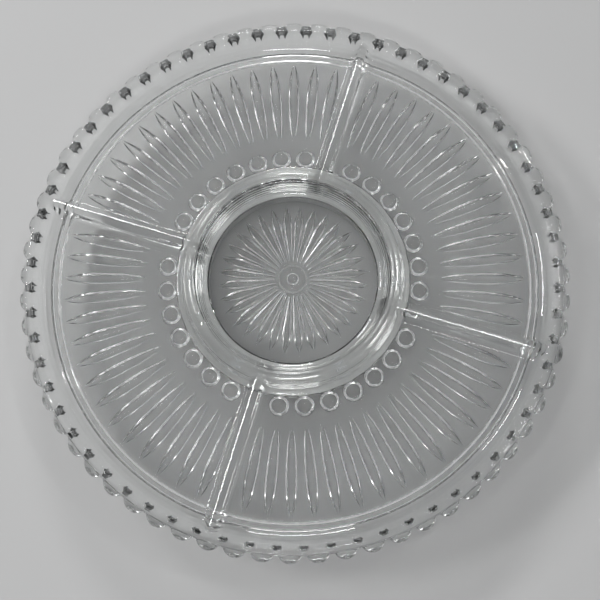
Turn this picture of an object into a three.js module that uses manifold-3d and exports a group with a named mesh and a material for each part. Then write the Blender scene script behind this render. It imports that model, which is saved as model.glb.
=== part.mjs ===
// Lazy susan: a pressed-glass relish tray on a low ball-bearing ring.
// Millimetres, +Z up, origin on the bearing axis at the plane of the feet.

import * as THREE from 'three';
import { mergeVertices } from 'three/addons/utils/BufferGeometryUtils.js';
import Module from 'manifold-3d';

const wasm = await Module();
wasm.setup();

// ---------------------------------------------------------------- driving dimensions

const TRAY_STEPS = 64;            // facets round the tray, one for each slot of its pattern
const RING_STEPS = 48;            // facets round the bearing rings
const FOOT_STEPS = 20;
const PAD_STEPS = 16;
const HOLE_STEPS = 12;            // facets round screws and their holes
const BALL_DETAIL = 1;
const REST_GAP = 0.3;             // left between pieces that touch
const WELD = 1e-4;                // points of a mesh closer than this are one

// glass tray: heights are above its flat underside
const TRAY = {
  radius: 152.4,                  // 12 inches across the knobs
  floor: 4.5,                     // glass thickness under the outer compartments
  rimTop: 18,
  dividerTop: 16,
};
const WELL = { discRadius: 48.2, discDrop: 1.5, discSide: 0.6, floorRadius: 47, floor: 3 };
const RING_WALL = {
  inner: 50.5,
  outer: 63,
  fillet: 1.5,                    // where its outer side meets the floor
  topInner: 54.5,
  topOuter: 59.5,
  bevelWidth: 1.2,
  bevelDrop: 0.8,
};
const FOOT_RING = { inner: 134, outer: 137.8, drop: 4, side: 0.6, outerTop: 0.4 };
const RIM = { wallOuter: 147.2, wallInner: 143.6, bottom: 4, outerBevel: 1, innerBevel: 0.8 };
const COVE = [                    // from the rim's wall to the floor: distance in, and height
  [2, 9.5],
  [5, 5.8],
  [9.6, TRAY.floor],
];
const KNOB = {
  count: 64,
  bottom: 5,
  top: 16.6,
  lowerSwell: 2.2,                // how far the knobs stand out at their lower edge
  widest: 9,                      // heights between which they narrow
  shoulder: 14.4,
  shoulderIn: 1.2,
  root: 2,                        // how far the band reaches into the wall
  swell: [1, 0.85, 0.3, 0.85],    // share of the swell, from one knob's middle to the next
};
const DIVIDER = {
  count: 4,
  firstAngle: 45,
  from: 56.5,
  to: 144.6,
  baseHalf: 6.75,
  waistHalf: 4.3,
  waist: 8.2,
  topHalf: 2.3,
  bevelDrop: 0.9,
  bevelWidth: 1,
  root: 1,                        // how far it reaches down into the floor
};
const FLUTE = { slots: 64, from: 82.5, to: 131.2, halfWidth: 3.6, depth: 2.2 };
const SUNBURST = { count: 32, from: 8.6, to: 43.5, halfWidth: 2.4, depth: 1.8 };
const BEAD = { slots: 32, ring: 71.5, radius: 5.3, drop: 3.9 };
const HUB = { radius: 4, drop: 0.8 };

// ball race
const BALL = { count: 16, ring: 60, radius: 2.5, height: 9.9 };
const GROOVE_RADIUS = BALL.radius + 0.35;   // a little more than the ball's own

// bearing rings
const FIXED = { inner: 53.1, outer: 65.2, bottom: 4, top: 8.5, lipWidth: 2.2, lipBottom: 5.2 };
const TURNING = {
  inner: 49,
  outer: 65.4,
  flangeOuter: 52.5,              // the flange reaches down inside the fixed ring
  flangeBottom: 5.1,
  bottom: 11,
  top: 14.2,
};
const RETAINER = { inner: 49.1, outer: 54.9, bottom: 3.4, top: 4.8 };
const CAGE = { inner: 55.4, outer: 64.4, bottom: 9, top: 10.5 };
const EDGE = 0.4;                 // small chamfer on the rings

// fastenings, feet and pads
const FOOT = {
  count: 4,
  firstAngle: 45,
  ring: 60.2,
  radius: 4.2,
  height: 3.7,
  lowerBevel: 0.3,
  bevelTop: 0.5,
  topIn: 0.2,
  recess: 1.8,
  recessRadius: 2.7,
};
const FOOT_SCREW = {
  headRadius: 2.3,
  headBottom: 0.5,
  headTop: 1.5,
  headBevel: 0.4,
  shank: 1.05,
  tip: 6,
  hole: 1.35,
};
const RING_SCREW = {
  count: 6,
  ring: 50.8,
  head: 1.35,
  headBottom: 3.5,
  neck: 4.4,
  shank: 0.75,
  tip: 8,
  hole: 1.05,
  sink: 0.25,                     // how much wider the countersink is than the head
};
const PAD = { count: 6, firstAngle: 30, ring: 56.8, radius: 3.2, recess: 0.8, height: 1.1, side: 0.3 };

const PAD_BOTTOM = TURNING.top - PAD.recess + REST_GAP;
const TRAY_BASE = PAD_BOTTOM + PAD.height + REST_GAP;
const OVERCUT = 1;                // cutters reach this far past the faces they open

// ---------------------------------------------------------------- materials

const GLASS = new THREE.MeshStandardMaterial({
  color: 0xe6eef0, roughness: 0.04, metalness: 0, transparent: true, opacity: 0.4,
});
const ALUMINIUM = new THREE.MeshStandardMaterial({ color: 0xc4c7ca, roughness: 0.35, metalness: 1 });
const STEEL = new THREE.MeshStandardMaterial({ color: 0xd6d8da, roughness: 0.15, metalness: 1 });
const SCREW_STEEL = new THREE.MeshStandardMaterial({ color: 0xa7aaad, roughness: 0.3, metalness: 1 });
const NYLON = new THREE.MeshStandardMaterial({ color: 0xe9e7e0, roughness: 0.5, metalness: 0 });
const RUBBER = new THREE.MeshStandardMaterial({ color: 0x2b2c2e, roughness: 0.85, metalness: 0 });
const SILICONE = new THREE.MeshStandardMaterial({ color: 0xdcdedd, roughness: 0.55, metalness: 0 });

// ---------------------------------------------------------------- helpers

const turn = (index, count, firstAngle = 0) =>
  THREE.MathUtils.degToRad(firstAngle + (360 * index) / count);

// A closed mesh made into a solid that can be joined and cut.
function solidFrom(geometry) {
  const bare = geometry.clone();
  bare.deleteAttribute('normal');
  bare.deleteAttribute('uv');
  const merged = mergeVertices(bare, WELD);
  const index = merged.index.array;
  const triangles = [];
  for (let i = 0; i < index.length; i += 3) {
    const [a, b, c] = [index[i], index[i + 1], index[i + 2]];
    if (a !== b && b !== c && c !== a) triangles.push(a, b, c);
  }
  return new wasm.Manifold(new wasm.Mesh({
    numProp: 3,
    vertProperties: new Float32Array(merged.attributes.position.array),
    triVerts: new Uint32Array(triangles),
  }));
}

function geometryFrom(solid) {
  const mesh = solid.getMesh();
  const geometry = new THREE.BufferGeometry();
  geometry.setAttribute('position', new THREE.BufferAttribute(mesh.vertProperties, 3));
  geometry.setIndex(new THREE.BufferAttribute(mesh.triVerts, 1));
  geometry.computeVertexNormals();
  return geometry;
}

// Turns a closed (radius, height) outline about Z. Outlines run up on their outer side.
function turned(outline, steps) {
  const points = outline.map(([radius, height]) => new THREE.Vector2(radius, height));
  if (outline[0][0] > 0) points.push(points[0].clone());
  return new THREE.LatheGeometry(points, steps).rotateX(Math.PI / 2);
}

// A plain cylinder standing on the ring of the given radius.
function post(radius, bottom, top, ring, angle, sides = HOLE_STEPS) {
  const height = top - bottom;
  return new THREE.CylinderGeometry(radius, radius, height, sides)
    .rotateX(Math.PI / 2)
    .translate(ring, 0, bottom + height / 2)
    .rotateZ(angle);
}

// Points of the ball groove, from one angle round the ball's centre to another.
function grooveArc(fromAngle, toAngle, segments = 4) {
  return Array.from({ length: segments + 1 }, (_, i) => {
    const angle = fromAngle + ((toAngle - fromAngle) * i) / segments;
    return [
      BALL.ring + GROOVE_RADIUS * Math.cos(angle),
      BALL.height + GROOVE_RADIUS * Math.sin(angle),
    ];
  });
}

const model = new THREE.Group();

function add(name, geometry, material) {
  const mesh = new THREE.Mesh(geometry, material);
  mesh.name = name;
  model.add(mesh);
}

// Adds one named copy of a piece for each place round the axis.
function addRound(name, geometry, material, { count, firstAngle = 0 }) {
  for (let i = 0; i < count; i += 1) {
    const mesh = new THREE.Mesh(geometry, material);
    mesh.name = `${name}_${String(i + 1).padStart(count > 9 ? 2 : 1, '0')}`;
    mesh.rotation.z = turn(i, count, firstAngle);
    model.add(mesh);
  }
}

// ---------------------------------------------------------------- glass tray

// Floor, centre well, ring wall, foot ring and rim in one turned outline.
function trayBody() {
  const cove = COVE.map(([inwards, height]) => [RIM.wallInner - inwards, height]);
  return turned([
    [0, -WELL.discDrop],
    [WELL.discRadius, -WELL.discDrop],
    [WELL.discRadius + WELL.discSide, 0],
    [FOOT_RING.inner - FOOT_RING.side, 0],
    [FOOT_RING.inner, -FOOT_RING.drop],
    [FOOT_RING.outer, -FOOT_RING.drop],
    [FOOT_RING.outer + FOOT_RING.side, FOOT_RING.outerTop],
    [RIM.wallOuter, RIM.bottom],
    [RIM.wallOuter, TRAY.rimTop - RIM.outerBevel],
    [RIM.wallOuter - RIM.outerBevel, TRAY.rimTop],
    [RIM.wallInner + RIM.innerBevel, TRAY.rimTop],
    [RIM.wallInner, TRAY.rimTop - RIM.outerBevel],
    ...cove,
    [RING_WALL.outer + RING_WALL.fillet, TRAY.floor],
    [RING_WALL.outer, TRAY.floor + RING_WALL.fillet],
    [RING_WALL.topOuter, TRAY.dividerTop - RING_WALL.bevelDrop],
    [RING_WALL.topOuter - RING_WALL.bevelWidth, TRAY.dividerTop],
    [RING_WALL.topInner + RING_WALL.bevelWidth, TRAY.dividerTop],
    [RING_WALL.topInner, TRAY.dividerTop - RING_WALL.bevelDrop],
    [RING_WALL.inner, TRAY.floor],
    [WELL.floorRadius, WELL.floor],
    [0, WELL.floor],
  ], TRAY_STEPS);
}

// A band of upright knobs, four facets to each, standing out from the rim's wall.
function knobBand() {
  const buried = RIM.wallOuter - KNOB.root;
  const facets = KNOB.count * KNOB.swell.length;
  const band = turned([
    [buried, KNOB.bottom],
    [RIM.wallOuter + KNOB.lowerSwell, KNOB.bottom],
    [TRAY.radius, KNOB.widest],
    [TRAY.radius - KNOB.shoulderIn, KNOB.shoulder],
    [buried, KNOB.top],
  ], facets);
  const place = band.attributes.position;
  for (let i = 0; i < place.count; i += 1) {
    const [x, y] = [place.getX(i), place.getY(i)];
    const radius = Math.hypot(x, y);
    if (radius <= RIM.wallOuter) continue;
    const facet = Math.round((Math.atan2(y, x) / (2 * Math.PI)) * facets) + facets;
    const share = KNOB.swell[facet % KNOB.swell.length];
    const scale = (RIM.wallOuter + (radius - RIM.wallOuter) * share) / radius;
    place.setXY(i, x * scale, y * scale);
  }
  return band;
}

// A wall that widens towards its foot, from inside the ring wall to inside the rim's wall.
function divider(angle) {
  const side = [
    [DIVIDER.baseHalf, TRAY.floor - DIVIDER.root],
    [DIVIDER.baseHalf, TRAY.floor],
    [DIVIDER.waistHalf, DIVIDER.waist],
    [DIVIDER.topHalf, TRAY.dividerTop - DIVIDER.bevelDrop],
    [DIVIDER.topHalf - DIVIDER.bevelWidth, TRAY.dividerTop],
  ];
  const otherSide = side.map(([across, height]) => [-across, height]).reverse();
  const corners = [...side, ...otherSide].map(([across, height]) => new THREE.Vector2(across, height));
  const wall = new THREE.ExtrudeGeometry(new THREE.Shape(corners), {
    depth: DIVIDER.to - DIVIDER.from, bevelEnabled: false,
  });
  return wall
    .rotateX(Math.PI / 2)
    .translate(0, -DIVIDER.from, 0)
    .rotateZ(Math.PI / 2 + angle);
}

// A long V-shaped cut, pointed at both ends, in the underside at the given level.
function flute({ from, to, halfWidth, depth }, level, angle) {
  return new THREE.OctahedronGeometry(1)
    .scale((to - from) / 2, halfWidth, depth)
    .translate((from + to) / 2, 0, level)
    .rotateZ(angle);
}

function bead(angle) {
  return new THREE.SphereGeometry(BEAD.radius, 8, 4)
    .rotateX(Math.PI / 2)
    .scale(1, 1, BEAD.drop / BEAD.radius)
    .translate(BEAD.ring, 0, 0)
    .rotateZ(angle);
}

// True for a slot of the pattern that a divider stands over.
const underDivider = (index, slots) =>
  (index - (slots * DIVIDER.firstAngle) / 360) % (slots / DIVIDER.count) === 0;

function glassTray() {
  let tray = solidFrom(trayBody()).add(solidFrom(knobBand()));
  for (let i = 0; i < DIVIDER.count; i += 1) {
    tray = tray.add(solidFrom(divider(turn(i, DIVIDER.count, DIVIDER.firstAngle))));
  }
  for (let i = 0; i < BEAD.slots; i += 1) {
    if (underDivider(i, BEAD.slots)) continue;
    tray = tray.add(solidFrom(bead(turn(i, BEAD.slots))));
  }
  for (let i = 0; i < FLUTE.slots; i += 1) {
    if (underDivider(i, FLUTE.slots)) continue;
    tray = tray.subtract(solidFrom(flute(FLUTE, 0, turn(i, FLUTE.slots))));
  }
  for (let i = 0; i < SUNBURST.count; i += 1) {
    const cut = flute(SUNBURST, -WELL.discDrop, turn(i, SUNBURST.count));
    tray = tray.subtract(solidFrom(cut));
  }
  const hub = post(HUB.radius, -WELL.discDrop - HUB.drop, 0, 0, 0, PAD_STEPS);
  return geometryFrom(tray.add(solidFrom(hub))).translate(0, 0, TRAY_BASE);
}

// ---------------------------------------------------------------- bearing

const grooveAngle = (level) => Math.asin((level - BALL.height) / GROOVE_RADIUS);

function fixedRing() {
  const dip = grooveAngle(FIXED.top);
  const lip = FIXED.inner + FIXED.lipWidth;
  let ring = solidFrom(turned([
    [lip, FIXED.bottom],
    [FIXED.outer - EDGE, FIXED.bottom],
    [FIXED.outer, FIXED.bottom + EDGE],
    [FIXED.outer, FIXED.top - EDGE],
    [FIXED.outer - EDGE, FIXED.top],
    ...grooveArc(dip, -Math.PI - dip),
    [FIXED.inner + EDGE, FIXED.top],
    [FIXED.inner, FIXED.top - EDGE],
    [FIXED.inner, FIXED.lipBottom],
    [lip, FIXED.lipBottom],
  ], RING_STEPS));
  for (let i = 0; i < FOOT.count; i += 1) {
    const angle = turn(i, FOOT.count, FOOT.firstAngle);
    const hole = post(FOOT_SCREW.hole, 0, FOOT_SCREW.tip + REST_GAP, FOOT.ring, angle);
    ring = ring.subtract(solidFrom(hole));
  }
  return geometryFrom(ring);
}

function turningRing() {
  const rise = grooveAngle(TURNING.bottom);
  let ring = solidFrom(turned([
    [TURNING.inner, TURNING.flangeBottom],
    [TURNING.flangeOuter, TURNING.flangeBottom],
    [TURNING.flangeOuter, TURNING.bottom],
    ...grooveArc(Math.PI - rise, rise),
    [TURNING.outer - EDGE, TURNING.bottom],
    [TURNING.outer, TURNING.bottom + EDGE],
    [TURNING.outer, TURNING.top - EDGE],
    [TURNING.outer - EDGE, TURNING.top],
    [TURNING.inner + EDGE, TURNING.top],
    [TURNING.inner, TURNING.top - EDGE],
  ], RING_STEPS));
  for (let i = 0; i < PAD.count; i += 1) {
    const angle = turn(i, PAD.count, PAD.firstAngle);
    const floor = TURNING.top - PAD.recess;
    const recess = post(PAD.radius + PAD.side, floor, TURNING.top + OVERCUT, PAD.ring, angle, PAD_STEPS);
    ring = ring.subtract(solidFrom(recess));
  }
  for (let i = 0; i < RING_SCREW.count; i += 1) {
    const angle = turn(i, RING_SCREW.count);
    const hole = post(RING_SCREW.hole, 0, RING_SCREW.tip + REST_GAP, RING_SCREW.ring, angle);
    ring = ring.subtract(solidFrom(hole));
  }
  return geometryFrom(ring);
}

// Flat ring with countersunk holes, screwed under the turning ring's flange.
function retainingRing() {
  let ring = solidFrom(turned([
    [RETAINER.inner, RETAINER.bottom],
    [RETAINER.outer, RETAINER.bottom],
    [RETAINER.outer, RETAINER.top],
    [RETAINER.inner, RETAINER.top],
  ], RING_STEPS));
  const { hole, neck } = RING_SCREW;
  const wide = RING_SCREW.head + RING_SCREW.sink;
  const sink = turned([
    [0, RETAINER.bottom - OVERCUT],
    [wide, RETAINER.bottom - OVERCUT],
    [wide, RETAINER.bottom],
    [hole, neck],
    [hole, RETAINER.top + OVERCUT],
    [0, RETAINER.top + OVERCUT],
  ], HOLE_STEPS);
  for (let i = 0; i < RING_SCREW.count; i += 1) {
    const cut = sink.clone().translate(RING_SCREW.ring, 0, 0).rotateZ(turn(i, RING_SCREW.count));
    ring = ring.subtract(solidFrom(cut));
  }
  return geometryFrom(ring);
}

function ballCage() {
  let cage = solidFrom(turned([
    [CAGE.inner, CAGE.bottom],
    [CAGE.outer, CAGE.bottom],
    [CAGE.outer, CAGE.top],
    [CAGE.inner, CAGE.top],
  ], RING_STEPS));
  for (let i = 0; i < BALL.count; i += 1) {
    const angle = turn(i, BALL.count);
    const pocket = post(
      GROOVE_RADIUS, CAGE.bottom - OVERCUT, CAGE.top + OVERCUT, BALL.ring, angle);
    cage = cage.subtract(solidFrom(pocket));
  }
  return geometryFrom(cage);
}

const ball = () =>
  new THREE.IcosahedronGeometry(BALL.radius, BALL_DETAIL).translate(BALL.ring, 0, BALL.height);

// ---------------------------------------------------------------- feet, screws and pads

const rubberFoot = () => turned([
  [FOOT.recessRadius, 0],
  [FOOT.radius - FOOT.lowerBevel, 0],
  [FOOT.radius, FOOT.bevelTop],
  [FOOT.radius - FOOT.topIn, FOOT.height],
  [FOOT_SCREW.hole, FOOT.height],
  [FOOT_SCREW.hole, FOOT.recess],
  [FOOT.recessRadius, FOOT.recess],
], FOOT_STEPS).translate(FOOT.ring, 0, 0);

const footScrew = () => turned([
  [0, FOOT_SCREW.headBottom],
  [FOOT_SCREW.headRadius - FOOT_SCREW.headBevel, FOOT_SCREW.headBottom],
  [FOOT_SCREW.headRadius, FOOT_SCREW.headBottom + FOOT_SCREW.headBevel],
  [FOOT_SCREW.headRadius, FOOT_SCREW.headTop],
  [FOOT_SCREW.shank, FOOT_SCREW.headTop],
  [FOOT_SCREW.shank, FOOT_SCREW.tip],
  [0, FOOT_SCREW.tip],
], HOLE_STEPS).translate(FOOT.ring, 0, 0);

const ringScrew = () => turned([
  [0, RING_SCREW.headBottom],
  [RING_SCREW.head, RING_SCREW.headBottom],
  [RING_SCREW.shank, RING_SCREW.neck],
  [RING_SCREW.shank, RING_SCREW.tip],
  [0, RING_SCREW.tip],
], HOLE_STEPS).translate(RING_SCREW.ring, 0, 0);

const gripPad = () =>
  post(PAD.radius, PAD_BOTTOM, PAD_BOTTOM + PAD.height, PAD.ring, 0, PAD_STEPS);

// ---------------------------------------------------------------- assembly

add('glass_tray', glassTray(), GLASS);
add('turning_ring', turningRing(), ALUMINIUM);
add('retaining_ring', retainingRing(), ALUMINIUM);
add('fixed_ring', fixedRing(), ALUMINIUM);
add('ball_cage', ballCage(), NYLON);
addRound('ball', ball(), STEEL, BALL);
addRound('grip_pad', gripPad(), SILICONE, PAD);
addRound('ring_screw', ringScrew(), SCREW_STEEL, RING_SCREW);
addRound('rubber_foot', rubberFoot(), RUBBER, FOOT);
addRound('foot_screw', footScrew(), SCREW_STEEL, FOOT);

export default model;
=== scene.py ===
import math

import bpy
import bmesh
import numpy as np
from mathutils import Matrix, Vector


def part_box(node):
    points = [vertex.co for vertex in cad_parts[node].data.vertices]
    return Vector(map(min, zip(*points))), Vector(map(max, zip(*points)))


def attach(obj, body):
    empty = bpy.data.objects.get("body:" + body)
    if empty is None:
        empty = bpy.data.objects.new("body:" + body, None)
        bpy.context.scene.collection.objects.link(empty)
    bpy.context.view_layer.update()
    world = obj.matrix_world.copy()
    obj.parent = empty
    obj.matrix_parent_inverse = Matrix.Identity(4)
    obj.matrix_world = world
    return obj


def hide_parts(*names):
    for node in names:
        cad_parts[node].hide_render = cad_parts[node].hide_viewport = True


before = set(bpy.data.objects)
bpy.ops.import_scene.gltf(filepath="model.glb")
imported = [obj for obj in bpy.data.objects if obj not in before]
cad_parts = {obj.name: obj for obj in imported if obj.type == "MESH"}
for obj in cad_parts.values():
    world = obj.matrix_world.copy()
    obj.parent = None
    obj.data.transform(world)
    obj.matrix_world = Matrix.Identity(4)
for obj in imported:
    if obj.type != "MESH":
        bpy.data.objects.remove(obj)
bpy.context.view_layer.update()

MM = 0.001
TAU = 2 * math.pi


# ---------------------------------------------------------------- sizes from the frame, in mm

def node_box(name):
    low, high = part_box(name)
    return np.array(low) / MM, np.array(high) / MM


tray_low, tray_high = node_box("glass_tray")
turning_low, turning_high = node_box("turning_ring")
fixed_low, fixed_high = node_box("fixed_ring")
retainer_low, retainer_high = node_box("retaining_ring")
cage_low, cage_high = node_box("ball_cage")

TRAY_RADIUS = tray_high[0]
FOOT_DROP = 4.0                       # the tray's foot ring hangs this far below its underside
TRAY_BASE = tray_low[2] + FOOT_DROP   # the tray's own heights start at its flat underside
RIM_TOP = tray_high[2] - TRAY_BASE
DIVIDER_TOP = RIM_TOP - 2.0
FLOOR = 4.5                           # glass thickness under the compartments
WELL_FLOOR = 3.0                      # top of the middle well
DISC_RADIUS, DISC_DROP = 48.2, 1.5    # the disc that hangs under the well

SLOTS = 64                            # flutes and knobs share one pitch round the tray
BEAD_SLOTS = 32                       # beads and sunburst flutes
DIVIDERS = 4
DIVIDER_ANGLE = math.pi / 4


# ---------------------------------------------------------------- small helpers

def step(low, high, x):
    """Smooth step from 0 at low to 1 at high."""
    t = np.clip((x - low) / (high - low), 0, 1)
    return t * t * (3 - 2 * t)


def smooth_max(a, b, reach):
    """The larger of a and b, with the corner between them rounded over reach."""
    h = np.clip(0.5 + 0.5 * (a - b) / reach, 0, 1)
    return b + (a - b) * h + reach * h * (1 - h)


def bend(start, corner, end, t):
    """The point that lies t of the way along the curve that rounds a corner."""
    return (1 - t) ** 2 * start + 2 * t * (1 - t) * corner + t * t * end


def rounded(corners, spacing, bends=2):
    """Points along a profile whose corners are (radius, height, cut): each corner is rounded over
    cut on both sides, and each straight stretch has a point at most every spacing."""
    points = [np.array(corners[0][:2], float)]
    for i in range(1, len(corners)):
        here = np.array(corners[i][:2], float)
        cut = corners[i][2]
        before = points[-1]
        arrive = here - (here - before) / np.linalg.norm(here - before) * cut
        if cut > 0:
            after = np.array(corners[i + 1][:2], float)
            leave = here + (after - here) / np.linalg.norm(after - here) * cut
        steps = max(1, math.ceil(np.linalg.norm(arrive - before) / spacing))
        points += [before + (arrive - before) * k / steps for k in range(1, steps + 1)]
        if cut > 0:
            points += [bend(arrive, here, leave, k / bends) for k in range(1, bends + 1)]
    return points


def new_object(name, vertices, faces):
    mesh = bpy.data.meshes.new(name)
    mesh.from_pydata([tuple(v) for v in vertices], [], faces)
    mesh.validate()
    mesh.polygons.foreach_set("use_smooth", [True] * len(mesh.polygons))
    thing = bpy.data.objects.new(name, mesh)
    bpy.context.scene.collection.objects.link(thing)
    return thing


# ---------------------------------------------------------------- the tray's mesh, ring by ring

class Shell:
    """A closed surface of rings of points, from the middle of the underside out over the rim and
    back to the middle of the top. Neighbouring rings have equal counts, or one has twice as many."""

    def __init__(self):
        self.vertices, self.faces, self.last = [], [], None

    def ring(self, angles, radii, heights):
        """Adds a ring of points, in mm, and joins it to the one before. A ring of one point closes
        the surface."""
        start, count = len(self.vertices), len(angles)
        radii = np.broadcast_to(radii, angles.shape)
        heights = np.broadcast_to(heights, angles.shape)
        x, y = radii * np.cos(angles), radii * np.sin(angles)
        z = heights + TRAY_BASE
        self.vertices += [(px * MM, py * MM, pz * MM) for px, py, pz in zip(x, y, z)]
        if self.last is not None:
            self.join(*self.last, start, count)
        self.last = (start, count)

    def join(self, a, n, b, m):
        """Faces between n points that start at a and m points that start at b."""
        if n == 1:
            self.faces += [(a, b + (j + 1) % m, b + j) for j in range(m)]
        elif m == 1:
            self.faces += [(a + j, a + (j + 1) % n, b) for j in range(n)]
        elif n == m:
            self.faces += [(a + j, a + (j + 1) % n, b + (j + 1) % m, b + j) for j in range(n)]
        elif n == 2 * m:
            for j in range(m):
                f0, f1, f2 = a + 2 * j, a + 2 * j + 1, a + (2 * j + 2) % n
                c0, c1 = b + j, b + (j + 1) % m
                self.faces += [(f0, f1, c0), (f1, c1, c0), (f1, f2, c1)]
        else:
            for j in range(n):
                c0, c1 = a + j, a + (j + 1) % n
                f0, f1, f2 = b + 2 * j, b + 2 * j + 1, b + (2 * j + 2) % m
                self.faces += [(c0, f1, f0), (c0, c1, f1), (c1, f2, f1)]


def even_angles(count):
    return DIVIDER_ANGLE + np.arange(count) * TAU / count


def slot_angles(slots, offsets):
    """Angles that grow round the ring, with the same offsets, from 0 up to half a pitch, on both
    sides of every slot's middle."""
    half = np.array(offsets[1:])
    one = np.concatenate([[0.0], half, TAU / slots - half[-2::-1]])
    middle = DIVIDER_ANGLE + np.arange(slots) * TAU / slots
    return (middle[:, None] + one[None, :]).ravel()


def slot_offset(angles, slots):
    """How far each angle is from its nearest slot's middle, and that slot's number."""
    pitch = TAU / slots
    number = np.round(angles / pitch)
    return angles - number * pitch, number.astype(int) % slots


def under_divider(number, slots):
    first = round(slots * DIVIDER_ANGLE / TAU)
    return (number - first) % (slots // DIVIDERS) == 0


# ---------------------------------------------------------------- relief of the tray's underside

FLUTE_IN, FLUTE_OUT = 82.5, 131.2     # where the long flutes start and end
FLUTE_WIDTH, FLUTE_DEPTH = 3.35, 2.3  # half their width, and their depth, where they are widest
FLUTE_WIDEST = 0.6                    # how far along them that is
BURST_IN, BURST_OUT = 8.8, 43.5       # where the sunburst's flutes start and end
BURST_WIDE = 31.5                     # radius where they are widest
BURST_SHARE = 0.42                    # half their width, as a share of their pitch
BURST_WIDTH, BURST_DEPTH = 2.4, 1.9   # one this wide on each side of its middle is this deep
BURST_START = 2.5                     # length of their rounded inner ends
BURST_END = BURST_OUT + 0.6
BEAD_RING, BEAD_RADIUS, BEAD_DROP = 71.5, 5.4, 3.9
HUB_DOT, HUB_DOT_DROP = 3.4, 2.0      # the round dot in the middle
HUB_GROOVE, HUB_GROOVE_WIDTH, HUB_GROOVE_DEPTH = 5.2, 1.0, 0.6
HUB_RING, HUB_RING_WIDTH, HUB_RING_DROP = 7.8, 0.4, 0.9
HUB_DOTS = 64                         # small dots along the hub's ring
HUB_EDGE = HUB_RING + 2
RIPPLE_IN, RIPPLE_OUT, RIPPLES, RIPPLE_RISE = 50.0, 63.5, 6, 0.28
LEDGE = 65.6                          # the flat bearing seat ends in a small scalloped ledge here
LEDGE_DROP, LEDGE_NOTCH = 0.7, 0.3
ACROSS_CUT = (0, 0.35, 0.68, 0.9, 1)  # the mesh's columns, from a cut's middle to its edge
FLUTE_COLUMNS, BURST_COLUMNS = 0.8, 0.5   # they spread over at least this much on each side


def flute_half_width(radius):
    """Half the width of a long flute: it narrows slowly inwards and comes to a point outwards."""
    u = min(max((radius - FLUTE_IN) / (FLUTE_OUT - FLUTE_IN), 0.0), 1.0)
    if u < FLUTE_WIDEST:
        return FLUTE_WIDTH * (1 - ((FLUTE_WIDEST - u) / FLUTE_WIDEST) ** 2.2) ** 0.62
    return FLUTE_WIDTH * (1 - ((u - FLUTE_WIDEST) / (1 - FLUTE_WIDEST)) ** 2) ** 0.8


def burst_half_width(radius):
    """Half the width of a sunburst flute: it widens from the hub, then comes to a point."""
    wide = BURST_SHARE * TAU * np.minimum(radius, BURST_WIDE) / BEAD_SLOTS
    tip = np.clip((BURST_OUT - radius) / (BURST_OUT - BURST_WIDE), 0, 1)
    inner = np.clip((radius - BURST_IN) / BURST_START, 0, 1)
    return wide * np.sin(tip * math.pi / 2) * np.sqrt(inner)


def gouge(half_width, full_width, depth, across):
    """Depth of a round-bottomed cut across its width."""
    safe = np.maximum(half_width, 1e-6)
    deep = depth * (half_width / full_width)
    return np.where(across < half_width, deep * (1 - (across / safe) ** 2), 0.0)


def hub_height(radius, angles):
    """What the hub's dotted ring, its groove and its dot add to the underside's height."""
    dots = 0.5 + 0.5 * np.cos(angles * HUB_DOTS)
    ring = HUB_RING_DROP * math.exp(-(((radius - HUB_RING) / HUB_RING_WIDTH) ** 2)) * dots
    groove = HUB_GROOVE_DEPTH * math.exp(-(((radius - HUB_GROOVE) / HUB_GROOVE_WIDTH) ** 2))
    dot = HUB_DOT_DROP * math.sqrt(max(0.0, 1 - (radius / HUB_DOT) ** 2))
    return groove - ring - dot


def underside(radius, angles, base):
    """Height of the underside: the profile's own height with flutes, beads and hub."""
    height = np.full(angles.shape, float(base))
    if BURST_IN < radius < BURST_OUT:
        off, _ = slot_offset(angles, BEAD_SLOTS)
        width = burst_half_width(radius)
        height += gouge(width, BURST_WIDTH, BURST_DEPTH, np.abs(off) * radius)
    if FLUTE_IN < radius < FLUTE_OUT:
        off, number = slot_offset(angles, SLOTS)
        cut = gouge(flute_half_width(radius), FLUTE_WIDTH, FLUTE_DEPTH, np.abs(off) * radius)
        height += np.where(under_divider(number, SLOTS), 0.0, cut)
    if abs(radius - BEAD_RING) < BEAD_RADIUS:
        off, number = slot_offset(angles, BEAD_SLOTS)
        near = 1 - (((radius - BEAD_RING) ** 2 + (off * radius) ** 2) / BEAD_RADIUS ** 2)
        dome = BEAD_DROP * np.clip(near, 0, 1) ** 0.5
        height -= np.where(under_divider(number, BEAD_SLOTS), 0.0, dome)
    if radius < HUB_EDGE:
        height += hub_height(radius, angles)
    return height


def flute_angles(radius):
    """Sixteen columns to a slot, that run along the flute's centre, flanks and edges."""
    half = math.pi / SLOTS
    edge = max(float(flute_half_width(radius)), FLUTE_COLUMNS) / radius
    gap = half - edge
    land = [edge + min(0.1 * gap, 0.12 / radius), edge + min(0.3 * gap, 0.5 / radius),
            edge + 0.6 * gap, half]
    return slot_angles(SLOTS, [share * edge for share in ACROSS_CUT] + land)


def burst_angles(radius):
    """Sixteen columns to a sunburst flute, in the same way."""
    half = math.pi / BEAD_SLOTS
    least = min(BURST_COLUMNS, 0.3 * half * radius)
    edge = max(float(burst_half_width(radius)), least) / radius
    gap = half - edge
    land = [edge + share * gap for share in (0.1, 0.3, 0.65)] + [half]
    return slot_angles(BEAD_SLOTS, [share * edge for share in ACROSS_CUT] + land)


# ---------------------------------------------------------------- knobs and dividers

WALL = 147.2                          # radius of the rim's wall between the knobs
KNOB_EDGE = math.radians(2.2)
KNOB_LOW, KNOB_HIGH = 4.6, 17.0
KNOB_GAP = 0.3                        # share of a knob's swell that is left between knobs
KNOB_COLUMNS = (0, 0.55, 1.05, 1.5, 1.85, 2.1, 2.22, 2.45, 2.8125)      # degrees from its middle

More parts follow.
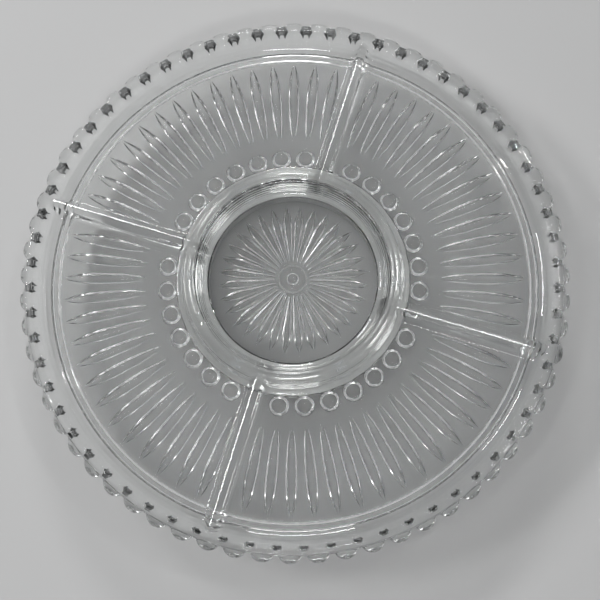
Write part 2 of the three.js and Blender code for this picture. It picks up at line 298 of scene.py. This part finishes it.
DIVIDER_HALF = 7.6                    # half a divider's width at its foot
CROWN_FLAT, CROWN_SLOPE = 0.5, math.tan(math.radians(25))
CROWN_HALF = 2.2                      # half its width where its flanks start
FLANK_FOOT, FLANK_RISE = FLOOR - 0.5, DIVIDER_TOP - 0.3 - FLOOR    # where they start, and their rise
FLARE, FLARE_FROM, FLARE_REACH = 0.55, 2.3, 2.5   # its flanks widen by this share near a wall
RING_FACE, RIM_FACE = 61.0, 142.5     # radii of the two walls that it runs between
DIVIDER_ROUND, FLOOR_ROUND = 0.35, 0.5   # how far its own edges and its foot are rounded
DIVIDER_IN = DISC_RADIUS + 4          # it fades out over the well's edge and inside the rim
SECTION = (0, 0.45, 0.65, 1.3, 1.95, 2.3, 3.0, 4.0, 5.2, 6.3, 7.4, 9.0)   # columns, mm from its middle
TOP_COUNT = 256


def knob(height, angles):
    """How far the knobs stand out from the rim's wall."""
    off, _ = slot_offset(angles, SLOTS)
    across = KNOB_GAP + (1 - KNOB_GAP) * np.clip(1 - (off / KNOB_EDGE) ** 2, 0, 1) ** 0.6
    t = np.clip((height - KNOB_LOW) / (KNOB_HIGH - KNOB_LOW), 0, 1)
    up = math.sin(math.pi * t ** 0.8) ** 0.72 if 0 < t < 1 else 0.0
    return (TRAY_RADIUS - WALL) * up * across


def divider_angles(radius, share):
    """Columns of the top face that run along the dividers. share fades them to an even spacing."""
    quarter = TOP_COUNT // DIVIDERS
    inner = np.array([math.asin(min(1.0, s / radius)) for s in SECTION])
    span = TAU / DIVIDERS
    between = np.linspace(inner[-1], span - inner[-1], quarter - 2 * (len(SECTION) - 1) + 1)
    one = np.concatenate([inner[:-1], between, span - inner[-2:0:-1]])
    one = one * share + np.arange(quarter) * span / quarter * (1 - share)
    return (np.arange(DIVIDERS)[:, None] * span + one[None, :]).ravel() + DIVIDER_ANGLE


def divider_height(radius, angles):
    """Height of the dividers' tapered section at each point."""
    off, _ = slot_offset(angles - DIVIDER_ANGLE, DIVIDERS)
    across = np.abs(radius * np.sin(off))
    flare = sum(math.exp(-abs(radius - face) / FLARE_REACH) for face in (RING_FACE, RIM_FACE))
    flared = FLARE_FROM + (across - FLARE_FROM) / (1 + FLARE * flare)
    across = np.where(across > FLARE_FROM, flared, across)
    crown = DIVIDER_TOP - CROWN_SLOPE * np.maximum(0, across - CROWN_FLAT)
    share = np.clip((DIVIDER_HALF - across) / (DIVIDER_HALF - CROWN_HALF), 0, 1.3)
    flank = FLANK_FOOT + FLANK_RISE * share ** 2.3
    return -smooth_max(-crown, -flank, DIVIDER_ROUND)


def topside(radius, angles, base):
    """Height of the top face: the profile's own height, and the dividers where they are higher."""
    height = np.full(angles.shape, float(base))
    if not DIVIDER_IN < radius < WALL:
        return height
    within = step(DIVIDER_IN, DIVIDER_IN + 4, radius) * (1 - step(WALL - 3, WALL - 1, radius))
    walls = divider_height(radius, angles) * within + base * (1 - within)
    return smooth_max(height, walls, FLOOR_ROUND)


# ---------------------------------------------------------------- glass tray

HUB_RINGS = (                         # columns round the mesh, and the radii of its rings
    (128, (0.8, 1.5, 2.1, 2.6, 3.0, 3.25, 3.38, 3.5, 4.0, 4.6, 5.2, 5.8)),
    (256, (6.5,)),
    (512, (7.1, 7.35, 7.55, 7.8, 8.05, 8.25, 8.5)))
KNOB_HEIGHTS = (4.3, 4.75, 5.4, 6.6, 8.4, 10.4, 12.4, 14.3, 15.7, 16.5, 17.0)
RING_WALL = 57.1                      # radius of the ring wall's middle
RING_CROWN = ((2.8, 0.9, 0.5), (2.0, 0, 0.4), (0.8, 0, 0.3), (0, 0.6, 0.3),     # its grooved top:
              (-0.8, 0, 0.3), (-2.0, 0, 0.4), (-2.8, 0.9, 0.5))    # across, below and corner cut


def add_hub_and_sunburst(shell):
    shell.ring(np.zeros(1), 0.0, underside(0.0, np.zeros(1), -DISC_DROP))
    for columns, radii in HUB_RINGS:
        angles = even_angles(columns)
        for radius in radii:
            shell.ring(angles, radius, underside(radius, angles, -DISC_DROP))
    for radius in np.linspace(BURST_IN + 0.4, BURST_END, 19):
        angles = burst_angles(radius)
        shell.ring(angles, radius, underside(radius, angles, -DISC_DROP))


def add_seat(shell):
    """The edge of the disc under the well, and the rippled flat that lies on the bearing's pads."""
    edge = rounded([(BURST_END, -DISC_DROP, 0), (DISC_RADIUS, -DISC_DROP, 0.4),
                    (DISC_RADIUS + 0.8, 0, 0.4), (RIPPLE_IN, 0, 0)], 3.0)
    for radius, height in edge[1:]:
        shell.ring(even_angles(256), radius, height)
    for wave in np.linspace(0, RIPPLES, 5 * RIPPLES + 1)[1:]:
        radius = RIPPLE_IN + (RIPPLE_OUT - RIPPLE_IN) * wave / RIPPLES
        shell.ring(even_angles(256), radius, RIPPLE_RISE * math.sin(math.pi * wave) ** 2)
    shell.ring(even_angles(512), LEDGE - 1.2, 0)


def add_beads(shell):
    """The scalloped ledge round the seat, and the ring of beads outside it."""
    angles = even_angles(1024)
    off, _ = slot_offset(angles, BEAD_SLOTS)
    notch = LEDGE_NOTCH + LEDGE_NOTCH * np.tanh(3 * np.cos(off * BEAD_SLOTS))
    for radius, height in ((LEDGE - 0.1, 0), (LEDGE, -0.1), (LEDGE + 0.35, 0.1 - LEDGE_DROP),
                           (LEDGE + 0.45, -LEDGE_DROP)):
        shell.ring(angles, radius + notch, height)
    for radius in np.linspace(LEDGE + 1.3, BEAD_RING + BEAD_RADIUS + 0.3, 12):
        shell.ring(angles, radius, underside(radius, angles, -LEDGE_DROP))


def add_flutes(shell):
    for radius in (79.0, 81.0):
        shell.ring(flute_angles(radius), radius, -LEDGE_DROP)
    even = np.linspace(0, 1, 18)
    shaped = 0.5 - 0.5 * np.cos(math.pi * even)
    for u in 0.5 * shaped + 0.5 * even:
        radius = FLUTE_IN + 0.1 + (FLUTE_OUT - FLUTE_IN - 0.2) * u
        angles = flute_angles(radius)
        shell.ring(angles, radius, underside(radius, angles, -LEDGE_DROP))


def add_rim(shell):
    """The foot ring, the stepped cove outside it, and the rim's wall with its knobs."""
    band = rounded([(FLUTE_OUT + 0.3, -LEDGE_DROP, 0), (132.6, -LEDGE_DROP, 0.8),
                    (134.2, 0.6 - FOOT_DROP, 0.4), (134.8, -FOOT_DROP, 0.3),
                    (137.3, -FOOT_DROP, 0.4), (138.4, 0.2, 0.4), (140.5, 0.4, 0.25),
                    (141.6, 1.9, 0.25), (143.4, 2.1, 0.25), (144.5, 3.6, 0.25),
                    (146.6, 3.8, 0)], 2.5)
    for i, (radius, height) in enumerate(band):
        inside = 0 < i < len(band) - 1
        shell.ring(even_angles(256 if inside else 512), radius, height)
    angles = slot_angles(SLOTS, [math.radians(column) for column in KNOB_COLUMNS])
    for height in KNOB_HEIGHTS:
        shell.ring(angles, WALL + knob(height, angles), height)
    shell.ring(angles, WALL - 0.3, RIM_TOP - 0.3)
    shell.ring(even_angles(512), WALL - 0.9, RIM_TOP)


def add_top(shell):
    """From the rim's top inwards: its steps, the compartments' floor, the ring wall and the well."""
    crown = [(RING_WALL + across, DIVIDER_TOP - below, cut) for across, below, cut in RING_CROWN]
    top = rounded([(WALL - 1.6, RIM_TOP, 0), (WALL - 2.6, RIM_TOP, 0.5),
                   (WALL - 3.6, RIM_TOP - 1, 0.5), (WALL - 5.6, 9.5, 1.6), (WALL - 8.6, 5.8, 1.6),
                   (WALL - 13.2, FLOOR, 2.2), (65.0, FLOOR, 1.2), (62.9, 6.3, 1.0), *crown,
                   (50.6, FLOOR, 1.2), (47.2, WELL_FLOOR, 1.2), (30.0, WELL_FLOOR, 0)], 7.5)
    for radius, height in top:
        share = float(step(WALL - 2.0, WALL - 4.5, radius) * step(49.0, 54.0, radius))
        angles = divider_angles(radius, share)
        shell.ring(angles, radius, topside(radius, angles, height))
    for radius, count in ((22.0, 128), (12.0, 64), (5.0, 32)):
        shell.ring(even_angles(count), radius, WELL_FLOOR)
    shell.ring(np.zeros(1), 0.0, WELL_FLOOR)


def make_tray():
    shell = Shell()
    for add in (add_hub_and_sunburst, add_seat, add_beads, add_flutes, add_rim, add_top):
        add(shell)
    return new_object("pressed_glass_tray", shell.vertices, shell.faces)


# ---------------------------------------------------------------- bearing ring, feet, screws

BALL_COUNT = 16
BALL_RING, BALL_RADIUS, BALL_HEIGHT = 60.0, 2.5, 9.9
GROOVE = BALL_RADIUS + 0.35           # radius of the races' grooves and of the cage's pockets
FOOT_COUNT, FOOT_RING = 4, 60.2
SCREW_COUNT, SCREW_RING = 6, 50.8
PAD_COUNT, PAD_RING, PAD_TURN = 6, 56.8, math.pi / 6      # the pads lie between the screws
FIT = 0.3                             # space left round a piece that sits in a hole or recess
OVERCUT = 1                           # a cutter reaches this far past what it cuts

FIXED_BORE, TURNING_BORE, RETAINER_BORE, CAGE_BORE = 53.1, 49.0, 49.1, 55.4     # radii
REBATE, REBATE_TOP = 2.2, 5.2         # a step under the lower race's bore clears the capture ring
SLEEVE = 52.5                         # radius of the upper race's sleeve, inside the lower race
FLANGE_UNDER = 11.0                   # underside of the upper race's flange
FOOT_HOLE, FOOT_HOLE_TOP = 1.35, 6.3
SCREW_HOLE, SCREW_HOLE_TOP = 1.05, 8.3
SINK = 1.6                            # radius of the capture ring's countersinks
FOOT_RADIUS, FOOT_TOP = 4.2, 3.7
HOLLOW, HOLLOW_TOP = 2.7, 1.8         # the hollow under a foot that takes its screw's head
FOOT_SHANK, FOOT_HEAD, FOOT_HEAD_LOW, FOOT_HEAD_HIGH = 1.05, 2.3, 0.5, 1.5
RING_SHANK, RING_HEAD, RING_HEAD_LOW, RING_HEAD_HIGH = 0.75, 1.35, 3.5, 4.4
PAD_RADIUS, PAD_THICK, PAD_RECESS = 3.2, 1.1, 0.8


def rounded_loop(corners, bends=3):
    """Points round a closed outline of (across, up, cut) corners, each rounded over its cut."""
    points = []
    for i, corner in enumerate(corners):
        here = np.array(corner[:2], float)
        before = np.array(corners[i - 1][:2], float)
        after = np.array(corners[(i + 1) % len(corners)][:2], float)
        cut = corner[2]
        if cut == 0:
            points.append(here)
            continue
        arrive = here + (before - here) / np.linalg.norm(before - here) * cut
        leave = here + (after - here) / np.linalg.norm(after - here) * cut
        points += [bend(arrive, here, leave, k / bends) for k in range(bends + 1)]
    return points


def lathe(name, corners, segments=192, centre=(0.0, 0.0)):
    """A closed turned piece. Its outline runs up on its outer side; corners at radius 0 are on the
    axis."""
    angles = np.arange(segments) * TAU / segments
    vertices, rows = [], []
    for radius, height in rounded_loop(corners):
        row = [len(vertices)]
        if radius > 1e-6:
            row = list(range(len(vertices), len(vertices) + segments))
            vertices += [((centre[0] + radius * math.cos(a)) * MM,
                          (centre[1] + radius * math.sin(a)) * MM, height * MM) for a in angles]
        else:
            vertices.append((centre[0] * MM, centre[1] * MM, height * MM))
        rows.append(row)
    faces = []
    for low, high in zip(rows, rows[1:] + rows[:1]):
        if len(low) == 1 and len(high) == 1:
            continue
        for j in range(segments):
            k = (j + 1) % segments
            if len(low) == 1:
                faces.append((low[0], high[k], high[j]))
            elif len(high) == 1:
                faces.append((low[j], low[k], high[0]))
            else:
                faces.append((low[j], low[k], high[k], high[j]))
    return new_object(name, vertices, faces)


def on_ring(radius, angle):
    return radius * math.cos(angle), radius * math.sin(angle)


def round_places(count, first=0.0):
    return [first + k * TAU / count for k in range(count)]


def carve(thing, cutters):
    """Cuts all the cutters out of thing and deletes them."""
    bpy.ops.object.select_all(action="DESELECT")
    for cutter in cutters:
        cutter.select_set(True)
    bpy.context.view_layer.objects.active = cutters[0]
    if len(cutters) > 1:
        bpy.ops.object.join()
    joined = bpy.context.view_layer.objects.active
    cutting = thing.modifiers.new("cut", "BOOLEAN")
    cutting.operation = "DIFFERENCE"
    cutting.solver = "EXACT"
    cutting.object = joined
    result = bpy.data.meshes.new_from_object(thing.evaluated_get(bpy.context.evaluated_depsgraph_get()))
    thing.modifiers.clear()
    thing.data = result
    bpy.data.objects.remove(joined)


def crisp(thing, degrees=32):
    """Smooth shading, with an edge wherever the surface turns by more than the angle."""
    mesh = thing.data
    mesh.polygons.foreach_set("use_smooth", [True] * len(mesh.polygons))
    mesh.set_sharp_from_angle(angle=math.radians(degrees))


def groove_arc(start, end, count=10):
    """Outline of a ball groove between two directions from the balls' middle."""
    turns = np.linspace(start, end, count)
    return [(BALL_RING + GROOVE * math.cos(t), BALL_HEIGHT + GROOVE * math.sin(t), 0) for t in turns]


def edge_line(outer, middle, half, depth):
    """Outline of a fine V-shaped line that runs round a ring's outer edge."""
    return [(outer, middle - half, 0.15), (outer - depth, middle, 0.2), (outer, middle + half, 0.15)]


def peg(radius, low, high, ring, angle, segments=32):
    return lathe("cutter", [(0, low, 0), (radius, low, 0), (radius, high, 0), (0, high, 0)],
                 segments, on_ring(ring, angle))


def make_fixed_ring():
    inner, outer = FIXED_BORE, fixed_high[0]
    low, high = fixed_low[2], fixed_high[2]
    dip = math.asin((high - BALL_HEIGHT) / GROOVE)
    ring = lathe("lower_race_ring", [
        (inner + REBATE, low, 0.3), (outer, low, 0.5), *edge_line(outer, (low + high) / 2, 0.7, 0.35),
        (outer, high, 0.5), *groove_arc(dip, -math.pi - dip), (inner, high, 0.4),
        (inner, REBATE_TOP, 0.3), (inner + REBATE, REBATE_TOP, 0.2)])
    carve(ring, [peg(FOOT_HOLE, low - OVERCUT, FOOT_HOLE_TOP, FOOT_RING, a)
                 for a in round_places(FOOT_COUNT, DIVIDER_ANGLE)])
    return ring


def make_turning_ring():
    low, high = turning_low[2], turning_high[2]
    inner, outer, under = TURNING_BORE, turning_high[0], FLANGE_UNDER
    rise = math.asin((under - BALL_HEIGHT) / GROOVE)
    ring = lathe("upper_race_ring", [
        (inner, low, 0.3), (SLEEVE, low, 0.3), (SLEEVE, under, 0.5),
        *groove_arc(math.pi - rise, rise), (outer, under, 0.5),
        *edge_line(outer, under + 1.6, 0.5, 0.3), (outer, high, 0.5), (inner, high, 0.5)])
    recesses = [peg(PAD_RADIUS + FIT, high - PAD_RECESS, high + OVERCUT, PAD_RING, a, 48)
                for a in round_places(PAD_COUNT, PAD_TURN)]
    holes = [peg(SCREW_HOLE, low - OVERCUT, SCREW_HOLE_TOP, SCREW_RING, a)
             for a in round_places(SCREW_COUNT)]
    carve(ring, recesses + holes)
    return ring


def make_retaining_ring():
    low, high = retainer_low[2], retainer_high[2]
    inner, outer = RETAINER_BORE, retainer_high[0]
    ring = lathe("capture_ring", [(inner, low, 0.25), (outer, low, 0.25), (outer, high, 0.25),
                                  (inner, high, 0.25)])
    sink = [(0, low - OVERCUT, 0), (SINK, low - OVERCUT, 0), (SINK, low, 0),
            (SCREW_HOLE, low + 1, 0), (SCREW_HOLE, high + OVERCUT, 0), (0, high + OVERCUT, 0)]
    carve(ring, [lathe("cutter", sink, 32, on_ring(SCREW_RING, a))
                 for a in round_places(SCREW_COUNT)])
    return ring


def make_cage():
    """The ball separator: a flat ring with raised edges, and a pocket for each ball."""
    low, high = cage_low[2], cage_high[2]
    inner, outer, rib, slope, sunk = CAGE_BORE, cage_high[0], 1.2, 0.3, 0.2
    cage = lathe("ball_separator", [
        (inner, low, 0.3), (inner + rib, low, 0.1), (inner + rib + slope, low + sunk, 0.1),
        (outer - rib - slope, low + sunk, 0.1), (outer - rib, low, 0.1), (outer, low, 0.3),
        (outer, high, 0.3), (outer - rib, high, 0.1), (outer - rib - slope, high - sunk, 0.1),
        (inner + rib + slope, high - sunk, 0.1), (inner + rib, high, 0.1), (inner, high, 0.3)])
    wide, lead = GROOVE + 1, 0.35
    pocket = [(0, low - OVERCUT, 0), (wide, low - OVERCUT, 0), (GROOVE, low + lead, 0.1),
              (GROOVE, high - lead, 0.1), (wide, high + OVERCUT, 0), (0, high + OVERCUT, 0)]
    carve(cage, [lathe("cutter", pocket, 48, on_ring(BALL_RING, a))
                 for a in round_places(BALL_COUNT)])
    return cage


def make_ball(name, angle):
    mesh = bpy.data.meshes.new(name)
    shape = bmesh.new()
    bmesh.ops.create_icosphere(shape, subdivisions=4, radius=BALL_RADIUS * MM)
    x, y = on_ring(BALL_RING, angle)
    bmesh.ops.translate(shape, verts=shape.verts, vec=(x * MM, y * MM, BALL_HEIGHT * MM))
    shape.to_mesh(mesh)
    shape.free()
    thing = bpy.data.objects.new(name, mesh)
    bpy.context.scene.collection.objects.link(thing)
    return thing


def make_foot(name, angle):
    """A rubber foot with a ribbed sole, a hollow for its screw's head and a hole for the shank."""
    return lathe(name, [
        (HOLLOW, 0, 0.15), (2.95, 0, 0.1), (3.1, 0.25, 0.1), (3.35, 0.25, 0.1), (3.5, 0, 0.1),
        (FOOT_RADIUS - 0.15, 0, 0.25), (FOOT_RADIUS, 1.1, 0.3), (FOOT_RADIUS - 0.1, FOOT_TOP, 0.3),
        (FOOT_HOLE, FOOT_TOP, 0.1), (FOOT_HOLE, HOLLOW_TOP, 0.1), (HOLLOW, HOLLOW_TOP, 0.2)],
        64, on_ring(FOOT_RING, angle))


def thread(shank, low, high, pitch=0.7, depth=0.16):
    """Outline of a screw's thread, from its head up to a short point."""
    points = []
    height = low
    while height + pitch < high - 0.6:
        points += [(shank - depth, height, 0), (shank, height + pitch / 2, 0)]
        height += pitch
    return points + [(shank - depth, height, 0), (0.3, high, 0), (0, high, 0)]


def carve_cross(screw, size, low, depth, centre):
    """Cuts a cross-shaped driver recess, which narrows upwards, into a head that faces down."""
    sections = ((low - 0.3, size, size * 0.3), (low + depth, size * 0.45, size * 0.16))
    faces = [(3, 2, 1, 0), (4, 5, 6, 7), (0, 1, 5, 4), (1, 2, 6, 5), (2, 3, 7, 6), (3, 0, 4, 7)]
    cutters = []
    for turn in (math.pi / 4, -math.pi / 4):
        along = Vector((math.cos(turn), math.sin(turn), 0))
        side = Vector((-along.y, along.x, 0))
        vertices = []
        for height, long, wide in sections:
            for a, b in ((-1, -1), (1, -1), (1, 1), (-1, 1)):
                at = Vector((*centre, height)) + along * long * a + side * wide * b
                vertices.append(at * MM)
        cutters.append(new_object("cutter", vertices, faces))
    for cutter in cutters:
        carve(screw, [cutter])


def make_foot_screw(name, angle):
    """A pan head screw that holds a foot to the lower race."""
    centre = on_ring(FOOT_RING, angle)
    low, high = FOOT_HEAD_LOW, FOOT_HEAD_HIGH
    screw = lathe(name, [
        (0, low, 0), (1.2, low + 0.02, 0.2), (FOOT_HEAD, 0.95, 0.25), (FOOT_HEAD, high, 0.08),
        (FOOT_SHANK, high, 0), *thread(FOOT_SHANK, high + 0.1, 6.0)], 48, centre)
    carve_cross(screw, 1.15, low, 0.65, centre)
    return screw


def make_ring_screw(name, angle):
    """A countersunk screw that holds the capture ring to the upper race."""
    centre = on_ring(SCREW_RING, angle)
    low, high = RING_HEAD_LOW, RING_HEAD_HIGH
    screw = lathe(name, [
        (0, low, 0), (RING_HEAD, low, 0.05), (RING_HEAD - 0.05, low + 0.12, 0.05),
        (RING_SHANK, high, 0.1), *thread(RING_SHANK, high + 0.1, 8.0, 0.5, 0.12)], 40, centre)
    carve_cross(screw, 0.8, low, 0.6, centre)
    return screw


def make_pad(name, angle):
    """A soft disc with two round grooves in its top."""
    low = turning_high[2] - PAD_RECESS + FIT
    high = low + PAD_THICK
    grooves = [(start - across, high - deep, 0.1) for start in (2.6, 1.3)
               for across, deep in ((0, 0), (0.2, 0.25), (0.5, 0.25), (0.7, 0))]
    return lathe(name, [(0, low, 0), (PAD_RADIUS, low, 0.2), (PAD_RADIUS, high, 0.3), *grooves,
                        (0, high, 0)], 64, on_ring(PAD_RING, angle))


# ---------------------------------------------------------------- materials

def material(name):
    made = bpy.data.materials.new(name)
    made.use_nodes = True
    tree = made.node_tree
    return made, tree, tree.nodes["Principled BSDF"]


def noise(tree, vector, scale, detail=3.0, roughness=0.6):
    node = tree.nodes.new("ShaderNodeTexNoise")
    node.inputs["Scale"].default_value = scale
    node.inputs["Detail"].default_value = detail
    node.inputs["Roughness"].default_value = roughness
    tree.links.new(vector, node.inputs["Vector"])
    return node.outputs["Fac"]


def object_coordinates(tree):
    return tree.nodes.new("ShaderNodeTexCoord").outputs["Object"]


def ranged(tree, value, low, high):
    """value, from 0 to 1, as a number from low to high."""
    node = tree.nodes.new("ShaderNodeMapRange")
    node.inputs["To Min"].default_value = low
    node.inputs["To Max"].default_value = high
    tree.links.new(value, node.inputs["Value"])
    return node.outputs["Result"]


def bump(tree, shader, height, distance, strength):
    node = tree.nodes.new("ShaderNodeBump")
    node.inputs["Distance"].default_value = distance
    node.inputs["Strength"].default_value = strength
    tree.links.new(height, node.inputs["Height"])
    tree.links.new(node.outputs["Normal"], shader.inputs["Normal"])


def tinted(tree, shader, value, low, high):
    """A base colour that goes from low to high as value goes from 0 to 1."""
    tint = tree.nodes.new("ShaderNodeMix")
    tint.data_type = "RGBA"
    tint.inputs["A"].default_value = (*low, 1)
    tint.inputs["B"].default_value = (*high, 1)
    tree.links.new(value, tint.inputs["Factor"])
    tree.links.new(tint.outputs["Result"], shader.inputs["Base Color"])


def glass_material():
    """Clear pressed glass, with the faint smears and swells of a moulded surface."""
    made, tree, shader = material("pressed_glass")
    shader.inputs["Base Color"].default_value = (0.985, 0.995, 0.99, 1)
    shader.inputs["Transmission Weight"].default_value = 1.0
    shader.inputs["IOR"].default_value = 1.52
    where = object_coordinates(tree)
    smear = noise(tree, where, 60, 4)
    tree.links.new(ranged(tree, smear, 0.0, 0.05), shader.inputs["Roughness"])
    bump(tree, shader, noise(tree, where, 45, 1.5, 0.4), 0.0004, 0.2)
    return made


def turned_metal(name, colour, rough):
    """Metal turned on a lathe: fine marks that run round the axis."""
    made, tree, shader = material(name)
    shader.inputs["Metallic"].default_value = 1.0
    where = object_coordinates(tree)
    split = tree.nodes.new("ShaderNodeSeparateXYZ")
    tree.links.new(where, split.inputs[0])
    flat = tree.nodes.new("ShaderNodeCombineXYZ")
    tree.links.new(split.outputs["X"], flat.inputs["X"])
    tree.links.new(split.outputs["Y"], flat.inputs["Y"])
    length = tree.nodes.new("ShaderNodeVectorMath")
    length.operation = "LENGTH"
    tree.links.new(flat.outputs[0], length.inputs[0])
    rings = tree.nodes.new("ShaderNodeCombineXYZ")
    tree.links.new(length.outputs["Value"], rings.inputs["X"])
    tree.links.new(split.outputs["Z"], rings.inputs["Z"])
    marks = noise(tree, rings.outputs[0], 2600)
    tinted(tree, shader, noise(tree, where, 90), [c * 0.86 for c in colour], colour)
    tree.links.new(ranged(tree, marks, rough * 0.7, rough * 1.35), shader.inputs["Roughness"])
    bump(tree, shader, marks, 0.00004, 0.6)
    return made


def mottled(name, colour, rough, scale, depth, metallic=0.0):
    """A plain material with a little cloudiness in its colour and roughness, and a fine grain."""
    made, tree, shader = material(name)
    shader.inputs["Metallic"].default_value = metallic
    where = object_coordinates(tree)
    cloud = noise(tree, where, scale, 4)
    tinted(tree, shader, cloud, [c * 0.8 for c in colour], [min(1.0, c * 1.1) for c in colour])
    tree.links.new(ranged(tree, cloud, rough * 0.8, min(1.0, rough * 1.2)),
                   shader.inputs["Roughness"])
    bump(tree, shader, noise(tree, where, scale * 12), depth, 0.5)
    return made


def paint(thing, finish):
    thing.data.materials.clear()
    thing.data.materials.append(finish)


# ---------------------------------------------------------------- camera, floor and light

def make_camera():
    """The photograph looks down from nearly overhead, with the object's dividers turned a little
    past the picture's upright and level lines."""
    tilt, heading = math.radians(11.7), math.radians(8.9)
    turn = math.radians(-27.9)            # from the picture's plan to the object's own
    distance = 0.4447
    target = Vector((0, 0, TRAY_BASE * MM))
    across = Vector((math.cos(heading), math.sin(heading), 0))
    away = Vector((-math.sin(heading), math.cos(heading), 0))
    up = away * math.cos(tilt) + Vector((0, 0, 1)) * math.sin(tilt)
    back = -away * math.sin(tilt) + Vector((0, 0, 1)) * math.cos(tilt)
    right = across * math.cos(heading) - up * math.sin(heading)
    top = across * math.sin(heading) + up * math.cos(heading)
    spin = Matrix.Rotation(turn, 3, "Z")
    axes = Matrix((spin @ right, spin @ top, spin @ back)).transposed()
    data = bpy.data.cameras.new("camera")
    data.sensor_width = 36
    data.lens = 47
    data.shift_x, data.shift_y = 0.0121, -0.035       # the object isn't in the picture's middle
    data.clip_start = 0.01
    camera = bpy.data.objects.new("camera", data)
    camera.matrix_world = Matrix.Translation(target + spin @ back * distance) @ axes.to_4x4()
    bpy.context.scene.collection.objects.link(camera)
    bpy.context.scene.camera = camera


def area_light(name, azimuth, elevation, size, radiance, distance=2.5):
    """A soft box at the given direction from the object, in degrees."""
    turn, rise = math.radians(azimuth), math.radians(elevation)
    place = distance * Vector((math.cos(turn) * math.cos(rise), math.sin(turn) * math.cos(rise),
                               math.sin(rise)))
    data = bpy.data.lights.new(name, "AREA")
    data.shape = "RECTANGLE"
    data.size, data.size_y = size
    data.energy = radiance * math.pi * size[0] * size[1]
    lamp = bpy.data.objects.new(name, data)
    lamp.location = place
    lamp.rotation_mode = "QUATERNION"
    lamp.rotation_quaternion = (-place).to_track_quat("-Z", "Y")
    bpy.context.scene.collection.objects.link(lamp)


# how bright the sky dome is, by the height of the direction: a pale horizon, a dim band that draws
# the glass's edges, and a soft light overhead
DOME = ((0.0, 0.42), (0.17, 0.4), (0.27, 0.06), (0.42, 0.06), (0.8, 0.5))

# the boxes light the bevels of the dividers' crowns, and the sparks the beads and knobs: azimuth
# and elevation in degrees, size in metres, and radiance
LIGHTS = (
    ("left_box", 138.6, 34.6, (0.7, 0.25), 42),
    ("upper_left_box", 107, 31.4, (0.5, 0.25), 34),
    ("upper_box", 65.9, 27.4, (0.7, 0.25), 36),
    ("lower_box", -121.7, 50.2, (0.6, 0.25), 28),
    ("left_spark", 160, 58, (0.09, 0.09), 200),
    ("right_spark", 15, 52, (0.09, 0.09), 170))


def make_floor():
    half = 30.0
    corners = [(-half, -half, 0), (half, -half, 0), (half, half, 0), (-half, half, 0)]
    floor = new_object("floor", corners, [(0, 1, 2, 3)])
    made, _, shader = material("pale_floor")
    shader.inputs["Base Color"].default_value = (0.43, 0.43, 0.43, 1)
    shader.inputs["Roughness"].default_value = 0.8
    paint(floor, made)


def make_dome():
    world = bpy.data.worlds.new("studio")
    bpy.context.scene.world = world
    world.use_nodes = True
    tree = world.node_tree
    sky = tree.nodes["Background"]
    sky.inputs["Color"].default_value = (0.98, 0.99, 1.0, 1)
    split = tree.nodes.new("ShaderNodeSeparateXYZ")
    tree.links.new(tree.nodes.new("ShaderNodeTexCoord").outputs["Generated"], split.inputs[0])
    dome = tree.nodes.new("ShaderNodeValToRGB")
    stops = dome.color_ramp.elements
    while len(stops) < len(DOME):
        stops.new(0.5)
    for stop, (height, light) in zip(stops, DOME):
        stop.position = height
        stop.color = (light, light, light, 1)
    tree.links.new(split.outputs["Z"], dome.inputs["Fac"])
    tree.links.new(dome.outputs["Color"], sky.inputs["Strength"])


make_camera()
make_floor()
make_dome()
for light in LIGHTS:
    area_light(*light)
bpy.context.scene.view_settings.view_transform = "Standard"


# ---------------------------------------------------------------- the object

def place(thing, finish, slot, body, *nodes):
    """Paints a piece, hangs it on the body it rides on, and hides the nodes it stands for."""
    paint(thing, finish)
    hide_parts(*nodes)
    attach(thing, body)


def place_crisp(thing, *details):
    crisp(thing)
    place(thing, *details)


glass = glass_material()
aluminium = turned_metal("satin_aluminium", (0.8, 0.8, 0.79), 0.3)
steel = mottled("bearing_steel", (0.8, 0.81, 0.82), 0.12, 300, 0.00001, 1.0)
screw_steel = mottled("screw_steel", (0.6, 0.61, 0.62), 0.3, 400, 0.00002, 1.0)
nylon = mottled("nylon", (0.86, 0.85, 0.8), 0.5, 250, 0.00003)
rubber = mottled("rubber", (0.035, 0.035, 0.038), 0.75, 300, 0.00006)
silicone = mottled("silicone", (0.74, 0.75, 0.76), 0.5, 300, 0.00003)

place(make_tray(), glass, "clear_glass", "tray", "glass_tray")
place_crisp(make_fixed_ring(), aluminium, "satin_aluminium", "base", "fixed_ring")
place_crisp(make_turning_ring(), aluminium, "satin_aluminium", "turntable", "turning_ring")
place_crisp(make_retaining_ring(), aluminium, "satin_aluminium", "turntable", "retaining_ring")
place_crisp(make_cage(), nylon, "cage_nylon", "ball_train", "ball_cage")
for i, angle in enumerate(round_places(BALL_COUNT), 1):
    ball = make_ball(f"bearing_ball_{i:02d}", angle)
    place_crisp(ball, steel, "ball_steel", "ball_train", f"ball_{i:02d}")
for i, angle in enumerate(round_places(FOOT_COUNT, DIVIDER_ANGLE), 1):
    foot = make_foot(f"ribbed_foot_{i}", angle)
    place_crisp(foot, rubber, "foot_rubber", "base", f"rubber_foot_{i}")
    screw = make_foot_screw(f"foot_pan_screw_{i}", angle)
    place_crisp(screw, screw_steel, "screw_steel", "base", f"foot_screw_{i}")
for i, angle in enumerate(round_places(SCREW_COUNT), 1):
    screw = make_ring_screw(f"capture_screw_{i}", angle)
    place_crisp(screw, screw_steel, "screw_steel", "turntable", f"ring_screw_{i}")
for i, angle in enumerate(round_places(PAD_COUNT, PAD_TURN), 1):
    pad = make_pad(f"ribbed_pad_{i}", angle)
    place_crisp(pad, silicone, "pad_silicone", "turntable", f"grip_pad_{i}")
